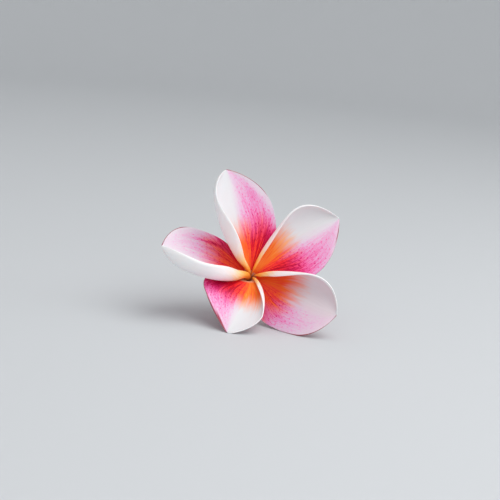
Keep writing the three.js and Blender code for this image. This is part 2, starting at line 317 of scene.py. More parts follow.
class Shader:
    """The nodes of one material, wired by short calls."""

    TISSUE_IOR = 1.42
    LIGHT_REACH = (1.0, 0.8, 0.75)  # how far red, green and blue light go in the tissue, as shares

    def __init__(self, name: str) -> None:
        """Start a material with a Principled shader.

        Args:
            name: The material's name.
        """
        self.material = bpy.data.materials.new(name)
        self.material.use_nodes = True
        self.tree = self.material.node_tree
        self.surface = self.tree.nodes["Principled BSDF"]

    def node(
        self, kind: str, inputs: dict[int | str, object] | None = None, **settings: object
    ) -> bpy.types.Node:
        """Add a node.

        Args:
            kind: Its type, without the "ShaderNode" in front.
            inputs: Sockets or numbers for its inputs.
            settings: Its properties.

        Returns:
            The node.
        """
        made = self.tree.nodes.new("ShaderNode" + kind)
        for name, value in settings.items():
            setattr(made, name, value)
        for name, value in (inputs or {}).items():
            self.feed(made.inputs[name], value)
        return made

    def feed(self, socket: Socket, value: object) -> None:
        """Link a socket to an input, or set the input to a number.

        Args:
            socket: The input.
            value: The socket or number that it gets.
        """
        if isinstance(value, Socket):
            self.tree.links.new(value, socket)
        else:
            socket.default_value = value

    def math(self, operation: str, a: Value, b: Value = 0.0) -> Socket:
        """Work out one operation on two values."""
        return self.node("Math", {0: a, 1: b}, operation=operation).outputs[0]

    def sum(self, first: Value, *others: Value) -> Socket:
        """Add values.

        Args:
            first: The first value.
            others: The others.

        Returns:
            Their sum.
        """
        for other in others:
            first = self.math("ADD", first, other)
        return first

    def product(self, first: Value, *others: Value) -> Socket:
        """Multiply values.

        Args:
            first: The first value.
            others: The others.

        Returns:
            Their product.
        """
        for other in others:
            first = self.math("MULTIPLY", first, other)
        return first

    def ease(self, value: Value, low: Value, high: Value) -> Socket:
        """Rise smoothly from 0 where the value is low to 1 where it is high."""
        inputs = {"Value": value, "From Min": low, "From Max": high}
        return self.node("MapRange", inputs, interpolation_type="SMOOTHSTEP").outputs[0]

    def fall(self, value: Value, low: Value, high: Value) -> Socket:
        """Fall smoothly from 1 where the value is low to 0 where it is high."""
        inputs = {"Value": value, "From Min": low, "From Max": high, "To Min": 1.0, "To Max": 0.0}
        return self.node("MapRange", inputs, interpolation_type="SMOOTHSTEP").outputs[0]

    def hill(self, value: Value, low: Value, top: Value, high: Value) -> Socket:
        """Rise smoothly from 0 to 1 and fall again to 0."""
        return self.product(self.ease(value, low, top), self.fall(value, top, high))

    def mix(self, share: Value, a: Colour, b: Colour) -> Socket:
        """Mix two colours, by the share of the second."""
        return self.node("Mix", {0: share, 6: a, 7: b}, data_type="RGBA").outputs[2]

    def ramp(self, value: Value, stops: tuple[tuple[float, Colour], ...]) -> Socket:
        """Run through colours as a value rises.

        Args:
            value: The value.
            stops: The values at which the colours stand, and the colours.

        Returns:
            The colour.
        """
        made = self.node("ValToRGB", {0: value})
        ramp = made.color_ramp
        for element, (place, colour) in zip(ramp.elements, (stops[0], stops[-1])):
            element.position = place
            element.color = colour
        for place, colour in stops[1:-1]:
            ramp.elements.new(place).color = colour
        return made.outputs[0]

    def curve(self, value: Value, points: tuple[tuple[float, float], ...]) -> Socket:
        """Run through numbers from 0 to 1 along a smooth curve, as a value rises from 0 to 1.

        Args:
            value: The value.
            points: Values and the numbers that belong to them.

        Returns:
            The number.
        """
        made = self.node("FloatCurve", {1: value})
        line = made.mapping.curves[0]
        for point, place in zip(line.points, (points[0], points[-1])):
            point.location = place
        for place in points[1:-1]:
            line.points.new(*place)
        made.mapping.update()
        return made.outputs[0]

    def point(self, x: Value, y: Value, z: Value = 0.0) -> Socket:
        """Join three values to a vector."""
        return self.node("CombineXYZ", {0: x, 1: y, 2: z}).outputs[0]

    def noise(self, vector: Socket, scale: float = 1.0, detail: float = 2.0) -> Socket:
        """Return noise from 0 to 1, with its middle at about 0.5."""
        inputs = {"Vector": vector, "Scale": scale, "Detail": detail}
        return self.node("TexNoise", inputs).outputs["Fac"]

    def attribute(self, name: str) -> Socket:
        """Return a value kept on the mesh."""
        return self.node("Attribute", attribute_name=name).outputs["Fac"]

    def bump(self, height: Socket, strength: float, distance: float) -> None:
        """Raise the surface by a height, over a distance in millimetres."""
        inputs = {"Height": height, "Strength": strength, "Distance": distance * MM}
        self.feed(self.surface.inputs["Normal"], self.node("Bump", inputs).outputs[0])

    def skin(
        self, colour: Colour, roughness: Value, subsurface: float, depth: float = 0.4, gloss: float = 0.5
    ) -> None:
        """Give the surface the look of plant tissue.

        Args:
            colour: Its colour.
            roughness: Its roughness.
            subsurface: How much light goes through its skin.
            depth: How deep that light goes, in millimetres.
            gloss: How strongly it reflects, with 0.5 as its index of refraction gives it.
        """
        inputs = self.surface.inputs
        inputs["Specular IOR Level"].default_value = gloss
        self.feed(inputs["Base Color"], colour)
        self.feed(inputs["Roughness"], roughness)
        inputs["IOR"].default_value = self.TISSUE_IOR
        inputs["Subsurface Weight"].default_value = subsurface
        inputs["Subsurface Radius"].default_value = self.LIGHT_REACH
        inputs["Subsurface Scale"].default_value = depth * MM


# ---- Petals ----


@dataclass(frozen=True)
class Base:
    """What the five petals share, where they leave the tube."""

    count: int = 5
    foot_radius: float = 2.4
    left_foot: float = 1.95
    right_foot: float = 3.3
    left_foot_wrap: float = 55.0
    right_foot_wrap: float = 95.0
    foot_roll: float = 29.0
    foot_elevation: float = 82.0
    flare_length: float = 3.0
    first_foot: float = 37.0
    sweep_power: float = 1.5
    tip: float = 0.999
    turn_settles: Span = (0.0, 0.12)
    roll_settles: Span = (0.0, 0.2)
    wrap_settles: Span = (0.0, 0.22)
    curl_settles: Span = (-0.05, 0.12)
    curl_opens_from: float = 0.05
    curl_ends: float = 1.05
    drift_middle: float = 0.3
    curl_limits: Span = (0.02, 0.9)
    lip_from: float = 0.94
    left_lip_rises: Span = (0.3, 0.55)
    right_lip_rises: Span = (0.5, 0.8)
    length_steps: int = 400
    width_steps: int = 120


@dataclass(frozen=True)
class Shape:
    """The shape of one petal: widths of each half laid flat, angles, and shares of the length.

    A half widens from the foot with its swell as a power, and narrows past its widest place with its
    shoulder and its tip as powers: below 1 the tip is round. The curl starts at a share of the left
    half's width, which drifts along the petal. A lip turns the very margin further over.
    """

    turn: float
    rise: float
    lift: float
    roll: float
    sweep: float
    length: float
    left_width: float
    right_width: float
    left_widest: float
    right_widest: float
    left_swell: float
    right_swell: float
    left_shoulder: float
    right_shoulder: float
    left_tip: float
    right_tip: float
    left_cup: float
    right_cup: float
    curl_at_foot: float
    curl_at_tip: float
    curl_reach: float
    curl_from: float
    curl_drift: float
    left_lip: float = 70.0
    right_lip: float = 0.0


# Clockwise from the top petal. A program fitted these values to the petals' outlines, and they are
# rounded. The lips, the tips of the third and fifth petal and the fourth one's right swell are not
# from it.
SHAPES = (
    Shape(
        turn=13.4, rise=41.2, lift=2.9, roll=6.6, sweep=3.6, length=47.6, left_width=19.9, right_width=17.6,
        left_widest=0.64, right_widest=0.5, left_swell=1.8, right_swell=2.7, left_shoulder=2.4,
        right_shoulder=2.1, left_tip=0.5, right_tip=0.85, left_cup=27.4, right_cup=21.5,
        curl_at_foot=195, curl_at_tip=39, curl_reach=1.02, curl_from=0.36, curl_drift=-0.33,
    ),
    Shape(
        turn=-3.3, rise=28.2, lift=-2.2, roll=5, sweep=5.3, length=44.5, left_width=17, right_width=16,
        left_widest=0.64, right_widest=0.48, left_swell=1.6, right_swell=1.9, left_shoulder=2.5,
        right_shoulder=2.2, left_tip=0.87, right_tip=0.88, left_cup=50, right_cup=8,
        curl_at_foot=165, curl_at_tip=56, curl_reach=0.76, curl_from=0.5, curl_drift=-0.16,
    ),
    Shape(
        turn=-3.9, rise=24.3, lift=-2.6, roll=25.3, sweep=0, length=44.5, left_width=16.3, right_width=16.7,
        left_widest=0.59, right_widest=0.47, left_swell=1.8, right_swell=2.4, left_shoulder=2.2,
        right_shoulder=3.4, left_tip=0.66, right_tip=0.66, left_cup=39, right_cup=-2,
        curl_at_foot=168, curl_at_tip=26, curl_reach=1.04, curl_from=0.2, curl_drift=-0.17,
    ),
    Shape(
        turn=5.2, rise=10.9, lift=-9.5, roll=8.3, sweep=17.6, length=36.4, left_width=12.6, right_width=19.1,
        left_widest=0.71, right_widest=0.44, left_swell=2.2, right_swell=2.4, left_shoulder=1.6,
        right_shoulder=1.7, left_tip=0.85, right_tip=0.85, left_cup=45.7, right_cup=24.1,
        curl_at_foot=214, curl_at_tip=-13, curl_reach=0.99, curl_from=0.54, curl_drift=0.4,
        right_lip=120,
    ),
    Shape(
        turn=6.5, rise=21.7, lift=10.7, roll=5, sweep=13.7, length=44.5, left_width=18.6, right_width=17.4,
        left_widest=0.66, right_widest=0.53, left_swell=2.5, right_swell=3.0, left_shoulder=3.7,
        right_shoulder=2.2, left_tip=0.6, right_tip=0.64, left_cup=29, right_cup=7.5,
        curl_at_foot=169, curl_at_tip=94, curl_reach=0.76, curl_from=0.21, curl_drift=-0.17,
    ),
)


class Face(Enum):
    """The faces of a petal, by the material index that Solidify gives them."""

    FRONT = 0
    BACK = 1
    RIM = 2


@dataclass(frozen=True)
class PetalFinish:
    """How far each colour of a petal's front reaches, as shares of its length or half width.

    The pigments lie along the veins, which fan out from the foot. Orange fills the throat and fades
    into white up the left half. Red fills the right half and fades through pink to lilac.
    """

    seed: float
    orange: float = 0.5
    red: float = 1.0
    red_full: float = -0.45
    red_none: float = 0.1
    fade: float = 0.0
    dark: float = 0.0
    dark_full: float = -0.95
    dark_none: float = -0.45
    deep: float = 0.05
    lilac_margin: float = 0.4
    lilac_to: float = -0.76
    # Where the painted highlight along the curled left margin starts, as a share of the half width.
    highlight_from: float = 0.88
    # A greyer pink wash over the front's white: partly blush, partly painted shade.
    blush: float = 0.0
    line: float = 0.2
    line_at: float = -0.1
    streak: float = 0.0
    streak_at: float = -0.7
    crimson_edge: float = 0.03
    crimson_from: float = 0.5
    throat: float = 0.04


class Streak(Enum):
    """Noise along the veins: how much lies across a half and along it, and where it starts."""

    BROAD = (5.0, 1.8, 0.0)
    FINE = (15.0, 3.4, 7.0)
    GRAIN = (38.0, 12.0, 13.0)
    SPECKS = (42.0, 36.0, 19.0)
    VEINS = (11.0, 1.6, 29.0)


@dataclass(frozen=True)
class Pattern:
    """What the five petals' patterns share, as spans of the length or half width, and as shares."""

    side_marks: Marks = (0.1, 0.08)
    along_marks: Marks = (0.08, 0.06)
    line_marks: Marks = (0.03, 0.02)
    edge_marks: Marks = (0.05, 0.05)
    red_marks: Marks = (0.12, 0.22, 0.16)
    warm_marks: Marks = (0.08, 0.24, 0.16)
    orange_marks: Marks = (0.08, 0.12, 0.06)
    fade_span: Span = (0.4, 0.75)
    dark_hill: Hill = (-0.15, 0.27, 0.54)
    margin_span: Span = (0.24, 0.4)
    streak_width: float = 0.09
    streak_hill: Hill = (0.2, 0.38, 0.68)
    vein_width: float = 0.16
    vein_span: Span = (0.4, 0.85)
    vein_share: float = 0.15
    speck_full: float = 0.45
    speck_share: float = 0.38
    marks_full: float = 0.25
    deep_span: Span = (0.2, 1.0)
    warm_least: float = 0.05
    orange_side: float = 0.04
    orange_right: float = 0.16
    orange_before: float = 0.2
    orange_after: float = 0.12
    clear_left: Span = (0.5, 0.85)
    clear_span: Span = (0.22, 0.4)
    # Up to how much red the front's greyer pink wash, partly painted shade, reaches.
    blush_full: float = 0.3
    line_width: float = 0.07
    line_span: Span = (0.3, 0.62)
    crimson_before: float = 0.15
    # The painted highlight along the left fold: how soon it is full across, and where it comes in along the
    # petal.
    highlight_width: float = 0.08
    highlight_span: Span = (0.3, 0.5)
    throat_full: float = 0.6
    back_marks: Marks = (0.05, 0.04)
    back_side_marks: Marks = (0.16, 0.1)
    blush_side: Span = (0.0, 0.8)
    blush_span: Span = (0.12, 0.35)
    blush_share: float = 0.4
    streaked_least: float = 0.85
    streaked_share: float = 0.3
    pink_side: Span = (-0.5, 0.2)
    crimson_side: Span = (-0.85, -0.05)
    rim_side: Span = (-0.3, 0.1)
    rim_span: Span = (0.15, 0.4)
    rim_share: float = 0.85
    roughness: float = 0.45
    roughness_grain: float = 0.14
    relief_fine: float = 0.7
    relief_grain: float = 0.3


class PetalShader(Shader):
    """The finish of one petal: its front, its back and its rim."""

    FAN = (0.4, 0.5)  # how narrow the veins' fan is at the foot, and where it has opened
    WHITE = paint(229, 228, 230)
    CORAL = paint(244, 48, 58)
    # A whiter white than WHITE: painted light, for the light that the curled margins and rims catch and that
    # shines through the backs.
    LIT_WHITE = paint(246, 246, 247)
    COOL = (
        (0.0, WHITE),
        (0.15, paint(232, 206, 224)),
        (0.3, paint(238, 172, 212)),
        (0.5, paint(244, 120, 182)),
        (0.7, paint(238, 62, 138)),
        (0.86, paint(212, 10, 98)),
        (1.0, paint(184, 0, 66)),
    )
    WARM = (
        (0.0, paint(255, 162, 76)),
        (0.1, paint(255, 136, 46)),
        (0.22, paint(255, 110, 40)),
        (0.4, paint(254, 84, 52)),
        (0.6, CORAL),
        (0.8, paint(214, 10, 46)),
        (1.0, paint(180, 0, 36)),
    )
    RED_ALONG = (
        (0.0, 0.28), (0.1, 0.4), (0.2, 0.53), (0.32, 0.62), (0.42, 0.58),
        (0.52, 0.47), (0.62, 0.38), (0.75, 0.32), (0.88, 0.25), (1.0, 0.2),
    )
    THROAT = paint(228, 172, 140)
    # The back's white is painted lighter than the front's white, for the light that shines through the thin
    # petal; the orange and yellow at its foot are its own.
    BACK = (
        (0.0, paint(240, 130, 40)),
        (0.1, paint(255, 176, 74)),
        (0.18, paint(252, 212, 152)),
        (0.28, paint(246, 238, 230)),
        (0.4, LIT_WHITE),
        (1.0, LIT_WHITE),
    )
    BLUSH = paint(236, 184, 200)
    PINK = paint(214, 66, 128)
    CRIMSON = paint(150, 4, 46)

    def __init__(self, name: str, look: PetalFinish) -> None:
        """Wire the finish.

        Args:
            name: The material's name.
            look: How far each colour reaches.
        """
        super().__init__(name)
        self.look = look
        uv = self.node("UVMap", uv_map="petal").outputs[0]
        split = self.node("SeparateXYZ", {0: uv})
        self.s = split.outputs[0]
        self.u = self.sum(self.product(split.outputs[1], 2.0), -1.0)
        narrow, opened = self.FAN
        fan = self.sum(narrow, self.product(self.ease(self.s, 0.0, opened), 1 - narrow))
        self.q = self.math("DIVIDE", self.u, fan)
        self.pattern = Pattern()
        self.broad = self.streaks(Streak.BROAD)
        self.fine = self.streaks(Streak.FINE)
        self.grain = self.streaks(Streak.GRAIN)
        self.specks = self.ease(self.streaks(Streak.SPECKS), 0.0, self.pattern.speck_full)
        off = self.math("ABSOLUTE", self.streaks(Streak.VEINS))
        self.veins = self.fall(off, 0.0, self.pattern.vein_width)
        colour = self.mix(self.attribute("back"), self.front(), self.back())
        colour = self.mix(self.attribute("rim"), colour, self.rim())
        pattern = self.pattern
        roughness = self.sum(pattern.roughness, self.product(self.grain, pattern.roughness_grain))
        self.skin(colour, roughness, subsurface=0.5, depth=1.0, gloss=0.22)
        relief = self.product(self.fine, pattern.relief_fine)
        relief = self.sum(relief, self.product(self.grain, pattern.relief_grain))
        self.bump(relief, strength=0.35, distance=0.12)

    def streaks(self, kind: Streak) -> Socket:
        """Make noise in streaks along the veins.

        Args:
            kind: Which streaks.

        Returns:
            The noise, from -1 to 1.
        """
        across, along, offset = kind.value
        x = self.product(self.q, across)
        y = self.product(self.s, along)
        noise = self.noise(self.point(x, y, self.look.seed + offset), detail=3.0)
        return self.product(self.sum(noise, -0.5), 2.0)

    def shifted(self, value: Socket, broad: float, fine: float, grain: float = 0.0) -> Socket:
        """Move a value by the streaks, so that what it bounds has a ragged edge."""
        parts = ((self.broad, broad), (self.fine, fine), (self.grain, grain))
        return self.sum(value, *(self.product(noise, share) for noise, share in parts))

    def front(self) -> Socket:
        """Colour the front, from how much red and how much orange there is.

        Returns:
            The colour.
        """
        look, pattern = self.look, self.pattern
        veins = self.product(self.veins, self.fall(self.s, *pattern.vein_span), pattern.vein_share)
        q = self.shifted(self.q, *pattern.side_marks)
        side = self.fall(q, look.red_full, look.red_none)
        right = self.fall(q, look.dark_full, look.dark_none)
        red = self.red(side, right, veins)
        colour = self.mix(self.orange(side, right), self.pale(red), self.warm(red, side, veins))
        return self.edged(self.lined(colour))

    def red(self, side: Socket, right: Socket, veins: Socket) -> Socket:
        """Return how much red there is.

        Args:
            side: How far a point is on the red side.
            right: How far it is where the right side can be darker.
            veins: How much of a vein it is.

        Returns:
            The amount of red.
        """
        look, pattern = self.look, self.pattern
        along = self.curve(self.shifted(self.s, *pattern.along_marks), self.RED_ALONG)
        kept = self.sum(look.red, self.product(self.ease(self.s, *pattern.fade_span), -look.fade))
        near = self.hill(self.shifted(self.s, *pattern.edge_marks), *pattern.dark_hill)
        red = self.sum(self.product(side, along, kept), self.product(right, near, look.dark))
        margin = self.product(self.fall(self.u, -1.0, look.lilac_to), self.ease(self.s, *pattern.margin_span))
        red = self.product(red, self.sum(1.0, self.product(margin, -look.lilac_margin)))
        off = self.math("ABSOLUTE", self.sum(self.shifted(self.u, *pattern.edge_marks), -look.streak_at))
        streak = self.fall(off, 0.0, pattern.streak_width)
        red = self.sum(red, self.product(streak, self.hill(self.s, *pattern.streak_hill), look.streak))
        # The red gathers in the veins and in specks, where there is any of it.
        specks = self.product(self.specks, pattern.speck_share)
        marks = self.sum(self.shifted(0.0, *pattern.red_marks), specks, veins)
        return self.sum(red, self.product(marks, self.ease(red, 0.0, pattern.marks_full)))

    def orange(self, side: Socket, right: Socket) -> Socket:
        """Return how much orange there is.

        Args:
            side: How far a point is on the red side.
            right: How far it is where the right side can be darker.

        Returns:
            The amount of orange, which ends sooner on both of these and on the far left.
        """
        look, pattern = self.look, self.pattern
        sooner = (self.product(side, pattern.orange_side), self.product(right, pattern.orange_right))
        reach = self.sum(self.shifted(self.s, *pattern.orange_marks), *sooner)
        orange = self.fall(reach, look.orange - pattern.orange_before, look.orange + pattern.orange_after)
        left = self.product(self.ease(self.u, *pattern.clear_left), self.ease(self.s, *pattern.clear_span))
        return self.product(orange, self.sum(1.0, self.product(left, -1.0)))

    def warm(self, red: Socket, side: Socket, veins: Socket) -> Socket:
        """Colour where there is orange, deeper where the side isn't red and in the veins.

        Args:
            red: The amount of red.
            side: How far a point is on the red side.
            veins: How much of a vein it is.

        Returns:
            The colour.
        """
        deep = self.product(self.fall(side, *self.pattern.deep_span), self.look.deep)
        deep = self.sum(deep, self.pattern.warm_least, self.shifted(0.0, *self.pattern.warm_marks), veins)
        return self.ramp(self.sum(red, deep), self.WARM)

    def pale(self, red: Socket) -> Socket:
        """Return the colour where there is no orange: white to red, with a greyer pink wash on the white that
        is partly blush and partly painted shade.
        """
        # On the front this wash also stands in for shade: it greys the white.
        blush = self.product(self.fall(red, 0.0, self.pattern.blush_full), self.look.blush)
        return self.mix(blush, self.ramp(red, self.COOL), self.BLUSH)

    def lined(self, colour: Socket) -> Socket:
        """Draw the red line that runs up the petal from its foot.

        Args:
            colour: The colour without it.

        Returns:
            The colour with it.
        """
        look, pattern = self.look, self.pattern
        off = self.math("ABSOLUTE", self.sum(self.shifted(self.q, *pattern.line_marks), -look.line_at))
        line = self.product(self.fall(off, 0.0, pattern.line_width), self.fall(self.s, *pattern.line_span))
        return self.mix(self.product(line, look.line), colour, self.CORAL)

    def edged(self, colour: Socket) -> Socket:
        """Return the colour with the crimson right margin, a painted highlight along the left fold and the
        throat.

        Args:
            colour: The colour inside these.

        Returns:
            The colour all over the front.
        """
        look, pattern = self.look, self.pattern
        edge = self.product(
            self.fall(self.u, -1.0 + look.crimson_edge, -1.0 + 2 * look.crimson_edge),
            self.ease(self.s, look.crimson_from - pattern.crimson_before, look.crimson_from),
        )
        colour = self.mix(edge, colour, self.CRIMSON)
        # Painted highlight: the curled left margin is painted a lit white for the light that it catches.
        fold = self.product(
            self.ease(self.u, look.highlight_from, look.highlight_from + pattern.highlight_width),
            self.ease(self.s, *pattern.highlight_span),
        )
        colour = self.mix(fold, colour, self.LIT_WHITE)
        throat = self.fall(self.s, pattern.throat_full * look.throat, look.throat)
        return self.mix(throat, colour, self.THROAT)

    def back(self) -> Socket:
        """Colour the back: white where the bud covered it, painted lighter than the front for the light let
        through, and crimson where not.

        Returns:
            The colour.
        """
        pattern = self.pattern
        colour = self.ramp(self.shifted(self.s, *pattern.back_marks), self.BACK)
        blush = self.product(self.fall(self.u, *pattern.blush_side), self.ease(self.s, *pattern.blush_span))
        colour = self.mix(self.product(blush, pattern.blush_share), colour, self.BLUSH)
        streaked = self.sum(pattern.streaked_least, self.product(self.fine, pattern.streaked_share))
        u = self.shifted(self.u, *pattern.back_side_marks)
        for span, stain in ((pattern.pink_side, self.PINK), (pattern.crimson_side, self.CRIMSON)):
            colour = self.mix(self.product(self.fall(u, *span), streaked), colour, stain)
        return colour

    def rim(self) -> Socket:
        """Colour the rim: white on the left, painted as lit as the back's white, and crimson on the right.

        Returns:
            The colour.
        """
        pattern = self.pattern
        dark = self.product(self.fall(self.u, *pattern.rim_side), self.ease(self.s, *pattern.rim_span))
        return self.mix(self.product(dark, pattern.rim_share), self.ramp(self.s, self.BACK), self.CRIMSON)


@dataclass
class Petal:
    """One petal, from a flat grid to a thin, cupped blade with a curled left margin."""

    index: int
    shape: Shape
    look: PetalFinish
    base: Base = field(default_factory=Base)
    lie: Lie = field(default_factory=Lie)
    rows: int = 150
    columns: int = 140
    row_crowding: float = 0.8  # how much closer the rows are at the foot and the tip
    thickness: float = 0.5
    margin_share: float = 0.6
    rim_round: float = 0.13
    rim_angle: float = 50.0
    groove: float = 0.1
    groove_width: float = 0.05
    wave: float = 0.2
    wave_phase: float = 2.4

    def half_width(self, s: np.ndarray, half: str) -> np.ndarray:
        """Return half the petal's width, laid flat.

        Args:
            s: Shares of its length.
            half: Which half, left or right.

        Returns:
            The width at each share, in millimetres.
        """
        names = ("width", "widest", "swell", "shoulder", "tip")
        width, widest, swell, shoulder, tip = (getattr(self.shape, f"{half}_{name}") for name in names)
        foot = getattr(self.base, f"{half}_foot")
        below = np.maximum(1 - s / widest, 0) ** swell
        above = np.maximum((s - widest) / (1 - widest), 0) ** shoulder
        narrowed = width * np.maximum(1 - above, 0) ** tip
        return np.where(s < widest, width + (foot - width) * below, narrowed)

    def heading(self, s: np.ndarray) -> tuple[np.ndarray, np.ndarray]:
        """Work out the way the midline goes.

        Args:
            s: Shares of the length.

        Returns:
            Its elevation and its turn from the foot's direction, in radians.
        """
        base, shape = self.base, self.shape
        flare = np.exp(-s * shape.length / base.flare_length)
        elevation = shape.rise + (base.foot_elevation - shape.rise) * flare + shape.lift * (2 * s - 1)
        turn = shape.turn * ease(*base.turn_settles, s) - shape.sweep * s**base.sweep_power
        return np.radians(elevation), np.radians(turn)

    def directions(self, s: np.ndarray) -> tuple[np.ndarray, np.ndarray]:
        """Return the midline's direction and the level direction across it.

        Args:
            s: Shares of the length.

        Returns:
            Both directions in the petal's own frame, as rows.
        """
        elevation, turn = self.heading(s)
        level = np.cos(elevation)
        forward = np.stack([level * np.cos(turn), level * np.sin(turn), np.sin(elevation)], axis=1)
        flat = np.stack([-np.sin(turn), np.cos(turn), np.zeros_like(turn)], axis=1)
        return forward, flat

    def midline(self, s: np.ndarray) -> np.ndarray:
        """Return the midline's points, summed in even steps from the foot.

        Args:
            s: Shares of the length.

        Returns:
            The points in the petal's own frame, as rows.
        """
        steps = self.base.length_steps
        x = np.linspace(0, 1, steps + 1)
        forward, _ = self.directions(x)
        spine = np.zeros_like(forward)
        spine[1:] = np.cumsum((forward[1:] + forward[:-1]) / 2, axis=0) * self.shape.length / steps
        spine[:, 0] += self.base.foot_radius
        return np.stack([np.interp(s, x, spine[:, axis]) for axis in range(3)], axis=1)

    def curl(self, s: np.ndarray, steps: np.ndarray) -> np.ndarray:
        """Return how far the left half is curled in.

        Args:
            s: Shares of the length.
            steps: Shares of the half width.

        Returns:
            The angle in degrees, with a row for each s and a column for each step.
        """
        base, shape = self.base, self.shape
        opened = ease(base.curl_opens_from, shape.curl_reach, s)
        curl = shape.curl_at_foot + (shape.curl_at_tip - shape.curl_at_foot) * opened
        curl = curl * ease(*base.curl_settles, s)
        curl_from = np.clip(shape.curl_from + shape.curl_drift * (s - base.drift_middle), *base.curl_limits)
        return curl[:, None] * ease(curl_from[:, None], base.curl_ends, steps)

    def half_section(self, s: np.ndarray, half: str) -> tuple[np.ndarray, np.ndarray]:
        """Sum one half of every section from the midline to the margin.

        Args:
            s: Shares of the length.
            half: Which half, left or right.

        Returns:
            How far each step reaches across and up, with a row for each s.
        """
        base = self.base
        steps = np.linspace(0, 1, base.width_steps + 1)
        wrap = getattr(base, f"{half}_foot_wrap")
        cup = wrap + (getattr(self.shape, f"{half}_cup") - wrap) * ease(*base.wrap_settles, s)
        slope = cup[:, None] * steps
        if half == "left":
            slope = slope + self.curl(s, steps)
        lip = getattr(self.shape, f"{half}_lip") * ease(*getattr(base, f"{half}_lip_rises"), s)
        angle = np.radians(slope + lip[:, None] * ease(base.lip_from, 1, steps))
        sums = []
        for part in (np.cos(angle), np.sin(angle)):
            total = np.zeros_like(part)
            total[:, 1:] = np.cumsum((part[:, 1:] + part[:, :-1]) / 2, axis=1) / base.width_steps
            sums.append(total * self.half_width(s, half)[:, None])
        return sums[0], sums[1]

    def surface(self, s: np.ndarray, u: np.ndarray) -> np.ndarray:
        """Return the middle surface in the flower's frame.

        Args:
            s: Shares of the length, one for each row.
            u: Shares of the half width, from the right margin at -1 to the left one at 1.

        Returns:
            The points, with a row for each s and a column for each u.
        """
        base = self.base
        forward, flat = self.directions(s)
        settled = ease(*base.roll_settles, s)
        roll = np.radians(base.foot_roll + (self.shape.roll - base.foot_roll) * settled)[:, None]
        across = np.cos(roll) * flat + np.sin(roll) * np.cross(forward, flat)
        up = np.cross(forward, across)

        middle = self.midline(s)
        steps = np.linspace(0, 1, base.width_steps + 1)
        right = self.half_section(s, "right")
        left = self.half_section(s, "left")
        ways = (np.where(u < 0, -1, 1), np.ones_like(u))  # the right half reaches the other way across
        points = np.empty((len(s), len(u), 3))
        for row in range(len(s)):
            reach, height = (
                way * np.where(u < 0, np.interp(-u, steps, to_right[row]), np.interp(u, steps, to_left[row]))
                for way, to_right, to_left in zip(ways, right, left)
            )
            points[row] = middle[row] + reach[:, None] * across[row] + height[:, None] * up[row]
        foot = math.radians(base.first_foot - 360 / base.count * self.index)
        turned_to = np.array(Matrix.Rotation(foot, 3, "Z"))
        return points @ turned_to.T

    def relief(self, s: np.ndarray, u: np.ndarray) -> np.ndarray:
        """Work out how far the real surface stands out: a groove along the midline and slow waves.

        Args:
            s: Shares of the length.
            u: Shares of the half width, from -1 to 1.

        Returns:
            The height in millimetres, with a row for each s and a column for each u.
        """
        along, across = np.meshgrid(s, u, indexing="ij")
        groove = -self.groove * np.exp(-((across / self.groove_width) ** 2)) * (1 - along)
        phase = self.wave_phase * self.index
        wave = np.sin(2 * math.pi * (1.1 * along + 0.45 * across) + phase)
        ripple = 0.5 * np.sin(2 * math.pi * (2.3 * along - 0.8 * across) + 2 * phase)
        return groove + self.wave * (wave + ripple) * along * np.abs(across)

    def build(self) -> bpy.types.Object:
        """Make the petal's mesh and dress it.

        Returns:
            The petal.
        """
        deselect()
        bpy.ops.mesh.primitive_grid_add(x_subdivisions=self.rows, y_subdivisions=self.columns, size=2)
        petal = new_piece(f"petal_{self.index + 1}_blade")
        flat = points_of(petal)
        row_of = np.rint((flat[:, 0] + 1) / 2 * self.rows).astype(int)
        column_of = np.rint((flat[:, 1] + 1) / 2 * self.columns).astype(int)
        s = np.linspace(0, 1, self.rows + 1)
        s = self.base.tip * (s - self.row_crowding * np.sin(2 * math.pi * s) / (2 * math.pi))
        u = np.linspace(-1, 1, self.columns + 1)
        points = self.surface(s, u)
        normal = np.cross(np.gradient(points, axis=0), np.gradient(points, axis=1))
        normal /= np.linalg.norm(normal, axis=2, keepdims=True)
        points = points + normal * self.relief(s, u)[..., None]
        move_points(petal, self.lie.place(points)[row_of, column_of])
        self.map(petal, s[row_of], (u[column_of] + 1) / 2)
        self.thicken(petal, np.maximum(np.abs(u[column_of]) ** 3, s[row_of] ** 12))
        move_points(petal, on_surface(points_of(petal)))
        shader = PetalShader(f"petal_{self.index + 1}", self.look)
        finish_piece(petal, shader.material, f"petal_{self.index + 1}")
        return petal

    def map(self, petal: bpy.types.Object, along: np.ndarray, across: np.ndarray) -> None:
        """Lay the petal's own UV map on it: its length along X and its width along Y.

        Args:
            petal: The petal.
            along: Each vertex's share of the length.
            across: Its share of the width, from the right margin to the left one.
        """
        mesh = petal.data
        mesh.uv_layers[0].name = "petal"
        corner = np.empty(len(mesh.loops), dtype=np.int32)
        mesh.loops.foreach_get("vertex_index", corner)
        uv = np.stack([along[corner], across[corner]], axis=1)
        mesh.uv_layers["petal"].data.foreach_set("uv", uv.ravel())

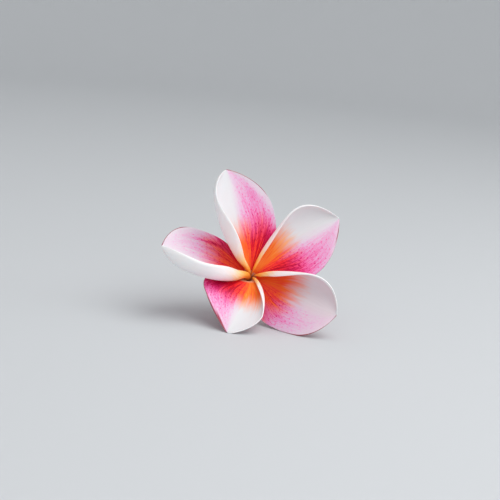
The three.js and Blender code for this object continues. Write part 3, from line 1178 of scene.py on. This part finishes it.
    def thicken(self, petal: bpy.types.Object, outward: np.ndarray) -> None:
        """Give the petal its thickness, thinner at the margins, with a rounded rim.

        Args:
            petal: The petal's middle surface.
            outward: From 0 in the middle of the petal to 1 at its margins, for each vertex.
        """
        group = petal.vertex_groups.new(name="thickness")
        share = 1 - (1 - self.margin_share) * outward
        for vertex, weight in enumerate(share):
            group.add([vertex], float(weight), "REPLACE")
        for _ in Face:
            petal.data.materials.append(None)
        apply(
            petal, "SOLIDIFY", thickness=self.thickness * MM, offset=0.0,
            vertex_group="thickness", use_even_offset=False, use_quality_normals=True,
            material_offset=Face.BACK.value, material_offset_rim=Face.RIM.value,
        )
        index = np.empty(len(petal.data.polygons), dtype=np.int32)
        petal.data.polygons.foreach_get("material_index", index)
        for face in (Face.BACK, Face.RIM):
            keep(petal, face.name.lower(), index == face.value, "FACE")
        apply(
            petal, "BEVEL", width=self.rim_round * MM, segments=2, limit_method="ANGLE",
            angle_limit=math.radians(self.rim_angle), use_clamp_overlap=True,
        )
        petal.data.polygons.foreach_set("material_index", np.zeros(len(petal.data.polygons), dtype=np.int32))
        petal.vertex_groups.clear()


LOOKS = (
    PetalFinish(
        seed=1.0, orange=0.48, red=0.78, dark=0.34, dark_full=-1.1, dark_none=-0.7, lilac_margin=0.72,
        lilac_to=-0.62, crimson_edge=0.012, crimson_from=0.75,
    ),
    PetalFinish(
        seed=23.0, orange=0.49, red=1.05, red_none=0.2, fade=0.25, dark=0.08, line=0.75, line_at=-0.25,
        crimson_edge=0.06, crimson_from=0.95,
    ),
    PetalFinish(
        seed=42.0, orange=0.54, red=0.6, red_full=-0.5, red_none=0.0, fade=0.12, lilac_margin=0.3, deep=0.17,
        # The third petal's white gets a greyer pink wash, partly painted shade, and its painted highlight
        # starts further in.
        highlight_from=0.74, blush=0.25, line=0.5, line_at=-0.35, crimson_edge=0.015, crimson_from=0.7,
    ),
    PetalFinish(
        seed=61.0, orange=0.57, red=1.0, red_none=0.05, fade=0.15, dark=0.16, dark_full=-0.85, dark_none=-0.4,
        lilac_margin=0.0, crimson_edge=0.17, crimson_from=0.9, throat=0.15,
    ),
    PetalFinish(
        seed=87.0, orange=0.5, red=0.44, red_none=0.3, dark=0.44, dark_full=-1.2, dark_none=-0.8,
        lilac_margin=0.5, streak=0.35, streak_at=-0.74, crimson_edge=0.015, crimson_from=0.8,
    ),
)


# ---- Tube, calyx, anthers, pistil and stalk ----


def smooth_profile(points: tuple[tuple[float, float], ...], steps: int) -> list[tuple[float, float]]:
    """Run a smooth curve through a profile.

    Args:
        points: Pairs of radius and height.
        steps: How many steps lead from each point to the next.

    Returns:
        The points of the curve, with the first and the last one of the profile at its ends.
    """
    given = np.array([points[0], *points, points[-1]])
    curve = []
    for before, start, end, after in zip(given, given[1:], given[2:], given[3:]):
        for t in np.arange(steps) / steps:
            bend = (end - before) * t + (2 * before - 5 * start + 4 * end - after) * t**2
            bend += (3 * start - before - 3 * end + after) * t**3
            curve.append(tuple(start + bend / 2))
    return [*curve, points[-1]]


def lay_piece(piece: bpy.types.Object, lie: Lie) -> None:
    """Lay a piece down, and keep on it the points that it had in the flower's frame.

    Args:
        piece: The piece, in the flower's frame, in millimetres.
        lie: How the flower lies.
    """
    points = points_of(piece)
    keep(piece, "grown", points)
    move_points(piece, lie.place(points))


class GrownShader(Shader):
    """The finish of a turned piece, whose pattern follows the flower's axis."""

    def __init__(self, name: str) -> None:
        """Read the piece's own points, in millimetres, and the angle round the axis.

        Args:
            name: The material's name.
        """
        super().__init__(name)
        self.grown = self.node("Attribute", attribute_name="grown").outputs["Vector"]
        split = self.node("SeparateXYZ", {0: self.grown})
        self.height = split.outputs[2]
        self.angle = self.math("ARCTAN2", split.outputs[1], split.outputs[0])

    def long_streaks(self, round_about: float, along: float) -> Socket:
        """Make noise in streaks that run along the axis, with no seam.

        Args:
            round_about: How fine they are round the axis.
            along: How fine they are along it.

        Returns:
            The noise, from 0 to 1.
        """
        x = self.product(self.math("COSINE", self.angle), round_about)
        y = self.product(self.math("SINE", self.angle), round_about)
        return self.noise(self.point(x, y, self.product(self.height, along)), detail=4.0)


@dataclass(frozen=True)
class TubeFinish:
    """The tube: crimson outside, and orange in the throat, with painted shade darkening it further down."""

    crimson: Paint = paint(140, 10, 42)
    rose: Paint = paint(206, 44, 92)
    tan: Paint = paint(226, 146, 92)
    # The inside's colour deep in the tube: the orange painted darker as shade.
    depth: Paint = paint(196, 122, 74)
    rose_span: Span = (-6.0, 2.4)  # heights over which crimson turns to rose
    rose_streaks: Span = (0.45, 0.7)
    mouth_depth: float = -5.0

    def material(self) -> bpy.types.Material:
        """Wire the finish.

        Returns:
            The material.
        """
        shader = GrownShader("tube")
        streaks = shader.long_streaks(round_about=5.0, along=0.3)
        rise = shader.math("ADD", shader.height, shader.product(streaks, 3.0))
        outside = shader.mix(shader.ease(rise, *self.rose_span), self.crimson, self.rose)
        outside = shader.mix(shader.ease(streaks, *self.rose_streaks), outside, self.rose)
        # Painted shade: the inside darkens from the mouth down into the tube.
        inside = shader.mix(shader.ease(shader.height, self.mouth_depth, 0.0), self.depth, self.tan)
        colour = shader.mix(shader.attribute("inner"), outside, inside)
        shader.skin(colour, roughness=0.34, subsurface=0.12)
        shader.bump(streaks, strength=0.35, distance=0.15)
        return shader.material


@dataclass
class CorollaTube:
    """The tube below the petals, closed at its foot and open at the throat, with five soft ridges."""

    outside: Profile = (
        (2.2, -15), (2.5, -13), (2.4, -10.5), (2, -6.5), (2.05, -3), (2.5, -1.4), (3.0, 0.1), (3.4, 0.9)
    )
    rim: Profile = ((3.43, 1.02), (3.34, 1.09), (3.24, 1.02))
    inside: Profile = (
        (2.75, 0.4), (2.2, -0.6), (1.8, -1.4), (1.35, -3),
        (1.3, -6.5), (1.75, -10.5), (1.85, -13), (1.5, -14.2),
    )
    foot_round: float = 0.35
    sides: int = 80
    steps: int = 5
    ridges: int = 5
    ridge_height: float = 0.09
    twist: float = 4.5  # degrees for each millimetre of height
    look: TubeFinish = field(default_factory=TubeFinish)
    lie: Lie = field(default_factory=Lie)

    def build(self) -> bpy.types.Object:
        """Make the tube and dress it.

        Returns:
            The tube.
        """
        foot_radius, foot = self.outside[0]
        bottom = self.inside[-1][1]
        rings = [(foot_radius - self.foot_round, foot)]
        rings += smooth_profile(self.outside, self.steps)
        outer = len(rings) * self.sides
        rings += [*self.rim, *smooth_profile(self.inside, self.steps)]
        rings += [(self.inside[-1][0] / 2, bottom - 0.2), (POLE, bottom - 0.25)]
        tube = turned("corolla_tube_wall", rings, self.sides)
        points = points_of(tube)
        reach = np.hypot(points[:, 0], points[:, 1])
        angle = np.arctan2(points[:, 1], points[:, 0]) + np.radians(self.twist) * points[:, 2]
        wave = self.ridge_height * np.cos(self.ridges * angle)
        grow = 1 + wave / np.maximum(reach, 1) * (reach > self.inside[3][0])
        points[:, :2] *= grow[:, None]
        move_points(tube, points)
        keep(tube, "inner", np.arange(len(points)) >= outer)
        lay_piece(tube, self.lie)
        finish_piece(tube, self.look.material(), "corolla_tube")
        return tube


@dataclass(frozen=True)
class CalyxFinish:
    """The calyx: dark wine red, greener at its foot, with a waxy skin."""

    wine: Paint = paint(112, 14, 34)
    green: Paint = paint(92, 62, 34)
    green_span: Span = (-15.4, -13.6)  # heights over which the green fades
    green_share: float = 0.7

    def material(self) -> bpy.types.Material:
        """Wire the finish.

        Returns:
            The material.
        """
        shader = GrownShader("calyx")
        cloud = shader.noise(shader.grown, scale=0.9, detail=4.0)
        low = shader.fall(shader.sum(shader.height, shader.product(cloud, 2.0)), *self.green_span)
        colour = shader.mix(shader.product(low, self.green_share), self.wine, self.green)
        shader.skin(colour, roughness=0.36, subsurface=0.1)
        shader.bump(shader.noise(shader.grown, scale=3.0, detail=3.0), strength=0.3, distance=0.12)
        return shader.material


@dataclass
class Calyx:
    """The small cup round the tube's foot, with five blunt lobes."""

    floor: float = -15.3
    foot: float = -16.5
    rim: float = -13.1
    stem_radius: float = 1.6
    inner: float = 2.66
    outer: float = 3.5
    lobes: int = 5
    notch: float = 0.4
    notch_lean: float = 0.06  # how far the gaps between the lobes lean in, as a share of the radius
    roundness: float = 0.7
    lobes_from: float = 0.3
    sides: int = 120
    look: CalyxFinish = field(default_factory=CalyxFinish)
    lie: Lie = field(default_factory=Lie)

    def build(self) -> bpy.types.Object:
        """Make the calyx and dress it.

        Returns:
            The calyx.
        """
        waist = (self.floor + self.rim) / 2
        outside = ((self.stem_radius, self.foot), (2.6, self.foot + 0.2), (3.3, self.foot + 0.75),
                   (self.outer, self.floor + 0.5), (self.outer, waist), (self.outer - 0.12, self.rim - 0.35))
        inside = ((self.inner, self.rim - 0.3), (self.inner, waist), (self.inner - 0.1, self.floor + 0.3),
                  (self.inner - 0.5, self.floor), (POLE, self.floor))
        top = ((self.outer - 0.3, self.rim - 0.06), ((self.outer + self.inner) / 2, self.rim),
               (self.inner + 0.1, self.rim - 0.08))
        rings = [(self.stem_radius / 2, self.foot), *smooth_profile(outside, 3)]
        rings += [*top, *smooth_profile(inside, 2)]
        calyx = turned("calyx_cup", rings, self.sides)
        points = points_of(calyx)
        lobes_foot = self.floor + self.lobes_from
        angle = np.arctan2(points[:, 1], points[:, 0])
        dip = self.notch * (1 - np.abs(np.cos(self.lobes / 2 * angle)) ** self.roundness)
        above = np.maximum(points[:, 2] - lobes_foot, 0)
        points[:, 2] -= above * dip
        lean = self.notch_lean * (dip / self.notch) * above / (self.rim - lobes_foot)
        points[:, :2] *= (1 - lean)[:, None]
        move_points(calyx, points)
        lay_piece(calyx, self.lie)
        finish_piece(calyx, self.look.material(), "calyx")
        return calyx


@dataclass(frozen=True)
class StalkFinish:
    """The stalk: glossy maroon with small pale lenticels, and a pale, moist cut."""

    maroon: Paint = paint(96, 16, 26)
    brown: Paint = paint(88, 50, 34)
    pith: Paint = paint(206, 196, 150)
    ring: Paint = paint(120, 128, 70)
    brown_clouds: Span = (0.5, 0.75)
    lenticel: Span = (0.1, 0.2)

    def material(self) -> bpy.types.Material:
        """Wire the finish.

        Returns:
            The material.
        """
        shader = GrownShader("stalk")
        cloud = shader.noise(shader.grown, scale=1.1, detail=4.0)
        colour = shader.mix(shader.ease(cloud, *self.brown_clouds), self.maroon, self.brown)
        specks = shader.node("TexVoronoi", {"Vector": shader.grown, "Scale": 1.5}).outputs["Distance"]
        colour = shader.mix(shader.fall(specks, *self.lenticel), colour, self.pith)
        cut = shader.mix(shader.attribute("ring"), self.pith, self.ring)
        colour = shader.mix(shader.attribute("cut"), colour, cut)
        shader.skin(colour, roughness=0.3, subsurface=0.1)
        shader.bump(cloud, strength=0.4, distance=0.2)
        return shader.material


@dataclass
class Stalk:
    """The short stalk, a little swollen at both ends and bowed, with a clean cut."""

    top: float = -16.65
    length: float = 5.65
    top_radius: float = 1.5
    radius: float = 1.15
    cut_radius: float = 1.3
    swollen_above: float = 0.45
    swollen_below: float = 0.7
    bow: float = 1.5
    edge: float = 0.12
    ring_share: float = 0.78  # where the cut's ring ends, as a share of its radius
    sides: int = 64
    rings: int = 40
    look: StalkFinish = field(default_factory=StalkFinish)
    lie: Lie = field(default_factory=Lie)

    def radius_at(self, share: np.ndarray) -> np.ndarray:
        """Return the radius at a share of the length, from 0 at the top to 1 at the cut."""
        waist = self.top_radius + (self.radius - self.top_radius) * ease(0, self.swollen_above, share)
        return waist + (self.cut_radius - waist) * ease(self.swollen_below, 1, share)

    def build(self) -> bpy.types.Object:
        """Make the stalk and dress it.

        Returns:
            The stalk.
        """
        end = self.top - self.length
        radius = self.cut_radius
        cut_radii = (POLE, radius / 2, radius * self.ring_share, radius - self.edge)
        rings = [(reach, end) for reach in cut_radii]
        cut = len(rings) * self.sides
        for share in np.linspace(1, 0, self.rings + 1):
            height = self.top - share * self.length + self.edge * (share == 1)
            rings.append((float(self.radius_at(share)), height))
        rings += [(self.top_radius / 2, self.top), (POLE, self.top)]
        stalk = turned("stalk_rod", rings, self.sides)
        points = points_of(stalk)
        down = (self.top - points[:, 2]) / self.length
        points[:, 1] += self.bow * down**2
        move_points(stalk, points)
        index = np.arange(len(points))
        for name, first, last in (("cut", 0, cut), ("ring", 2 * self.sides, 3 * self.sides)):
            keep(stalk, name, (index >= first) & (index < last))
        lay_piece(stalk, self.lie)
        finish_piece(stalk, self.look.material(), "stalk")
        return stalk


@dataclass(frozen=True)
class HeartFinish:
    """The anthers or the pistil: one pale colour that darkens towards the foot."""

    name: str
    pale: Paint
    dark: Paint
    dark_span: Span = (-13.4, -10.6)  # heights over which the dark foot fades

    def material(self) -> bpy.types.Material:
        """Wire the finish.

        Returns:
            The material.
        """
        shader = GrownShader(self.name)
        grain = shader.noise(shader.grown, scale=5.0, detail=3.0)
        rise = shader.math("ADD", shader.height, grain)
        colour = shader.mix(shader.ease(rise, *self.dark_span), self.dark, self.pale)
        shader.skin(colour, roughness=0.6, subsurface=0.15)
        shader.bump(grain, strength=0.5, distance=0.08)
        return shader.material


@dataclass
class Heart:
    """The ring of five anthers that lean together in the tube, and the pistil inside it."""

    foot: float = -13.9
    anthers: int = 5
    anther_height: float = 3.2
    shoulder: float = 0.55  # share of the height at which they start to lean in
    outer: float = 1.4
    inner: float = 0.95
    top_outer: float = 1.1
    top_inner: float = 0.75
    groove: float = 0.12
    pistil_height: float = 3.8
    ovary: float = 0.6
    neck: float = 0.25
    head: float = 0.45
    sides: int = 60
    steps: int = 4
    lie: Lie = field(default_factory=Lie)

    def build_anthers(self) -> bpy.types.Object:
        """Make the ring of anthers and dress it.

        Returns:
            The ring.
        """
        top = self.foot + self.anther_height
        shoulder = self.foot + self.anther_height * self.shoulder
        outside = ((self.outer, self.foot), (self.outer, shoulder), (self.top_outer, top - 0.15))
        inside = ((self.top_inner, top - 0.1), (self.inner, shoulder), (self.inner, self.foot))
        crest = ((self.top_outer + self.top_inner) / 2, top)
        rings = [*smooth_profile(outside, self.steps), crest, *smooth_profile(inside, self.steps)]
        ring = turned("anther_ring", [*rings, rings[0]], self.sides, closed_foot=False)
        points = points_of(ring)
        reach = np.hypot(points[:, 0], points[:, 1])
        wave = (1 - np.cos(self.anthers * np.arctan2(points[:, 1], points[:, 0]))) / 2
        points[:, :2] *= (1 - self.groove * wave * (reach > self.top_outer - 0.01))[:, None]
        move_points(ring, points)
        lay_piece(ring, self.lie)
        finish = HeartFinish("anthers", paint(236, 204, 110), paint(190, 140, 70))
        finish_piece(ring, finish.material(), "anthers")
        return ring

    def build_pistil(self) -> bpy.types.Object:
        """Make the pistil and dress it.

        Returns:
            The pistil.
        """
        shares = (
            (self.ovary, 0.0), (self.ovary, 0.3), (self.neck, 0.5),
            (self.neck, 0.7), (self.head, 0.82), (self.neck, 0.98),
        )
        profile = tuple((radius, self.foot + share * self.pistil_height) for radius, share in shares)
        top = self.foot + self.pistil_height
        rings = [(POLE, self.foot), *smooth_profile(profile, self.steps), (POLE, top)]
        pistil = turned("pistil_style", rings, self.sides)
        lay_piece(pistil, self.lie)
        finish = HeartFinish("pistil", paint(216, 226, 168), paint(150, 170, 90))
        finish_piece(pistil, finish.material(), "pistil")
        return pistil

    def build(self) -> None:
        """Make both pieces."""
        self.build_anthers()
        self.build_pistil()


# ---- The studio ----


@dataclass
class Studio:
    """The plain pale floor that rises to a backdrop all round, the soft lights and the camera."""

    lie: Lie = field(default_factory=Lie)
    view: Viewpoint = field(default_factory=Viewpoint)
    floor_radius: float = 0.9
    cove: float = 0.5
    wall: float = 1.0
    floor_paint: Paint = paint(200, 203, 206)
    floor_roughness: float = 0.8
    light_distance: float = 0.9
    surroundings: float = 0.68  # how bright the white all round is
    sides: int = 96
    arc_steps: int = 12

    def floor(self) -> None:
        """Make the floor, with a cove up to a wall all round."""
        deselect()
        bpy.ops.mesh.primitive_circle_add(vertices=self.sides, radius=self.floor_radius, fill_type="NGON")
        floor = new_piece("floor")
        bpy.ops.object.mode_set(mode="EDIT")
        bpy.ops.mesh.select_all(action="SELECT")
        rings = [
            (self.floor_radius + self.cove * math.sin(a), self.cove * (1 - math.cos(a)))
            for a in np.linspace(0, math.pi / 2, self.arc_steps + 1)[1:]
        ]
        rings.append((self.floor_radius + self.cove, self.wall))
        bpy.ops.mesh.select_mode(type="EDGE")
        bpy.ops.mesh.region_to_loop()
        extrude_rings(self.floor_radius, 0.0, rings)
        bpy.ops.object.mode_set(mode="OBJECT")
        floor.data.shade_smooth()
        shader = Shader("floor")
        shader.surface.inputs["Base Color"].default_value = self.floor_paint
        shader.surface.inputs["Roughness"].default_value = self.floor_roughness
        floor.data.materials.append(shader.material)

    def seen_axes(self) -> np.ndarray:
        """Return the camera's right, up and backward directions as rows."""
        return self.view.axes() @ self.lie.rotation().T

    def light(self, name: str, side: float, height: float, size: float, watts: float) -> None:
        """Add a soft square light that looks at the flower.

        Args:
            name: Its name.
            side: Its angle from the camera, to the right as the camera sees it.
            height: Its angle above the camera.
            size: Its side, in metres.
            watts: Its power.
        """
        data = bpy.data.lights.new(name, "AREA")
        data.shape = "SQUARE"
        data.size = size
        data.energy = watts
        lamp = bpy.data.objects.new(name, data)
        bpy.context.scene.collection.objects.link(lamp)
        side, height = math.radians(side), math.radians(height)
        level = math.cos(height)
        seen = np.array([level * math.sin(side), math.sin(height), level * math.cos(side)])
        aim = Vector(seen @ self.seen_axes())
        lamp.location = Vector(self.lie.throat) * MM + aim * self.light_distance
        lamp.rotation_euler = (-aim).to_track_quat("-Z", "Y").to_euler()

    def camera(self) -> None:
        """Add the camera, at the distance and tilt from which the throat is at its pixel."""
        axes = self.seen_axes()
        pixel = self.view.pixel()
        x = -(self.view.throat_pixel[0] - PICTURE / 2) * pixel
        y = (self.view.throat_pixel[1] - PICTURE / 2) * pixel
        place = np.array(self.lie.throat) + np.array([x, y, self.view.distance]) @ axes
        data = bpy.data.cameras.new("camera")
        data.lens = self.view.lens
        data.sensor_width = self.view.sensor
        data.clip_start = 0.01
        data.clip_end = 20
        camera = bpy.data.objects.new("camera", data)
        bpy.context.scene.collection.objects.link(camera)
        turn = Matrix([list(row) for row in axes.T]).to_4x4()
        camera.matrix_world = Matrix.Translation(Vector(place * MM)) @ turn
        bpy.context.scene.camera = camera

    def build(self) -> None:
        """Make the floor, the lights, the surroundings and the camera."""
        self.camera()
        self.floor()
        self.light("key", side=50, height=50, size=0.8, watts=5.2)
        self.light("side", side=84, height=4, size=0.6, watts=1.3)
        self.light("fill", side=15, height=5, size=1.0, watts=1.9)
        world = bpy.data.worlds.new("surroundings")
        world.use_nodes = True
        sky = world.node_tree.nodes["Background"]
        sky.inputs["Color"].default_value = (1, 1, 1, 1)
        sky.inputs["Strength"].default_value = self.surroundings
        bpy.context.scene.world = world
        bpy.context.scene.view_settings.view_transform = "Standard"


def main() -> None:
    """Build the studio and the flower."""
    logging.basicConfig(level=logging.INFO, format="%(name)s: %(message)s")
    Studio().build()
    for index, (shape, look) in enumerate(zip(SHAPES, LOOKS)):
        Petal(index, shape, look).build()
    for part in (CorollaTube(), Calyx(), Stalk(), Heart()):
        part.build()


if __name__ == "__main__":
    main()
